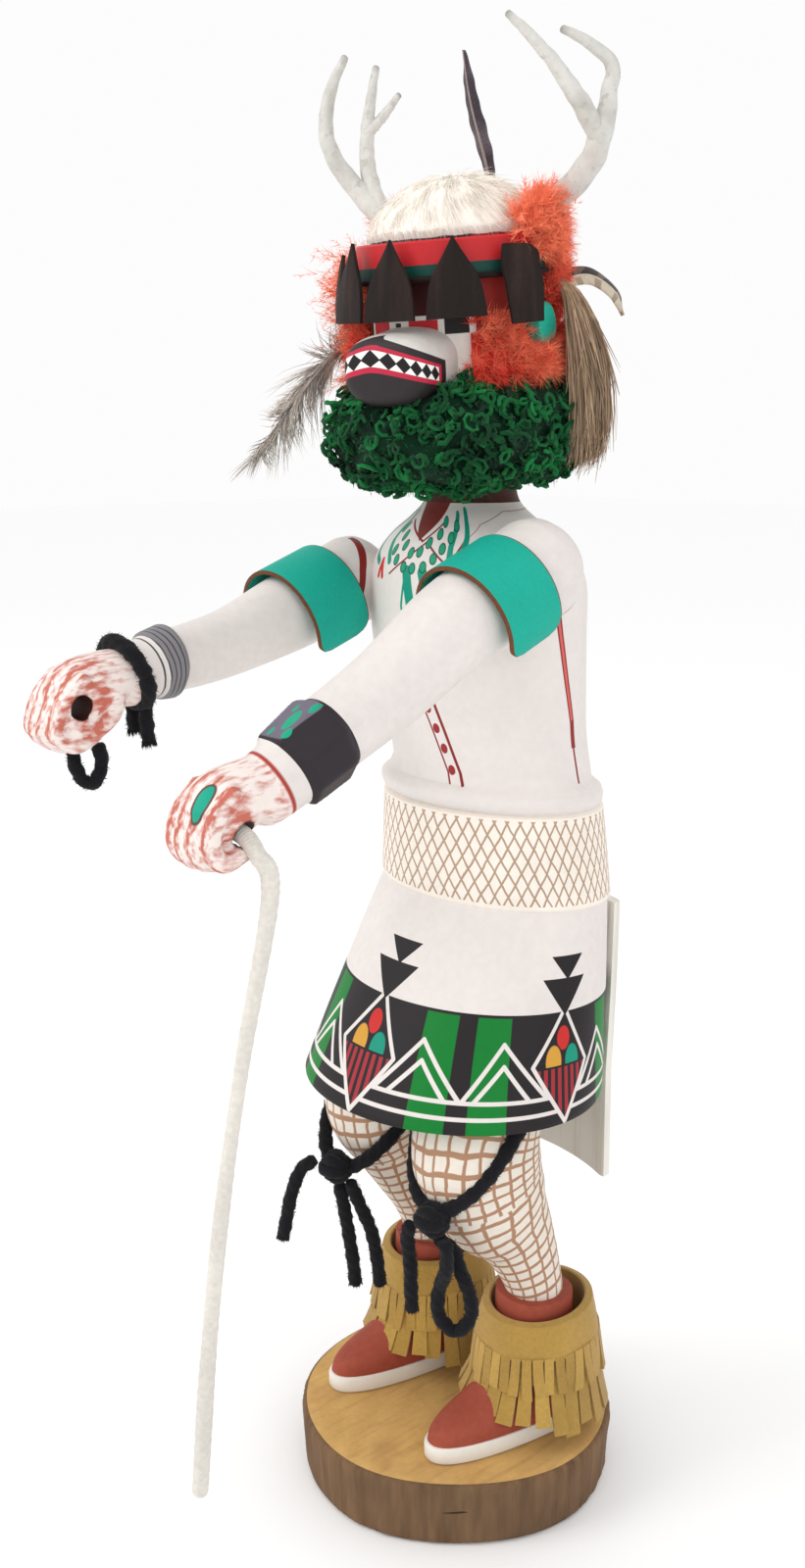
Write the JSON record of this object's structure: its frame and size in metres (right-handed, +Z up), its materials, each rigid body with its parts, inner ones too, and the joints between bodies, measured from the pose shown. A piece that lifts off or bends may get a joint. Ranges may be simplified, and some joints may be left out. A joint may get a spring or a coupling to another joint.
{
  "type": "kachina doll",
  "caption": "Carved and painted wooden dancer figure in an antlered, snouted mask with a yarn ruff, holding a bent cane, on a round slice of root.",
  "frame": {"origin": "centre of the underside of the round base", "axes": "+Z up the figure, -Y the way the figure faces, +X its left side"},
  "size_m": [0.1093, 0.173, 0.4296],
  "materials": {
    "root_wood": "sawn cottonwood root, bare, with rough sides",
    "painted_wood": "matt hand paint on carved wood: white, black, green, red, brown and flesh tones",
    "painted_antler": "whitewashed with a grey-olive patina",
    "visor_paint": "red paint with a dark green strip below",
    "leather": "dark brown, creased",
    "armband_leather": "turquoise paint with a raw brown edge",
    "fur": "cream rabbit fur",
    "green_yarn": "looped wool yarn",
    "red_feather": "soft dyed down",
    "plain_feather": "natural feather, brown, grey and striped",
    "suede": "mustard suede cut into fringe",
    "black_yarn": "twisted wool yarn",
    "cane_wrap": "whitewashed bent twig"
  },
  "bodies": {
    "root": {"base": "root_wood", "body": "painted_wood", "arm_left": "painted_wood", "arm_right": "painted_wood", "snout": "painted_wood", "back_panel": "painted_wood", "ear_left": "painted_wood", "ear_right": "painted_wood", "antler_left": "painted_antler", "antler_right": "painted_antler", "visor": "visor_paint", "visor_rod": "leather", "visor_point_1": "leather", "visor_point_2": "leather", "visor_point_3": "leather", "visor_point_4": "leather", "visor_point_5": "leather", "armband_left": "armband_leather", "armband_right": "armband_leather", "fur_cap": "fur", "ruff": "green_yarn", "feather_collar": "red_feather", "feather_tuft_left": "red_feather", "feather_tuft_right": "red_feather", "crest_feather": "plain_feather", "ear_feathers_left": "plain_feather", "ear_feathers_right": "plain_feather", "curled_feather": "plain_feather", "ankle_cuff_left": "suede", "ankle_cuff_right": "suede", "knee_tie_left": "black_yarn", "knee_tie_right": "black_yarn", "wrist_tie": "black_yarn", "palm_loop": "black_yarn", "yarn_tail_left": "black_yarn", "yarn_loop_left": "black_yarn", "yarn_tail_right_outer": "black_yarn", "yarn_tail_right_middle": "black_yarn", "yarn_tail_right_inner": "black_yarn", "cane": "cane_wrap"}
  },
  "joints": []
}
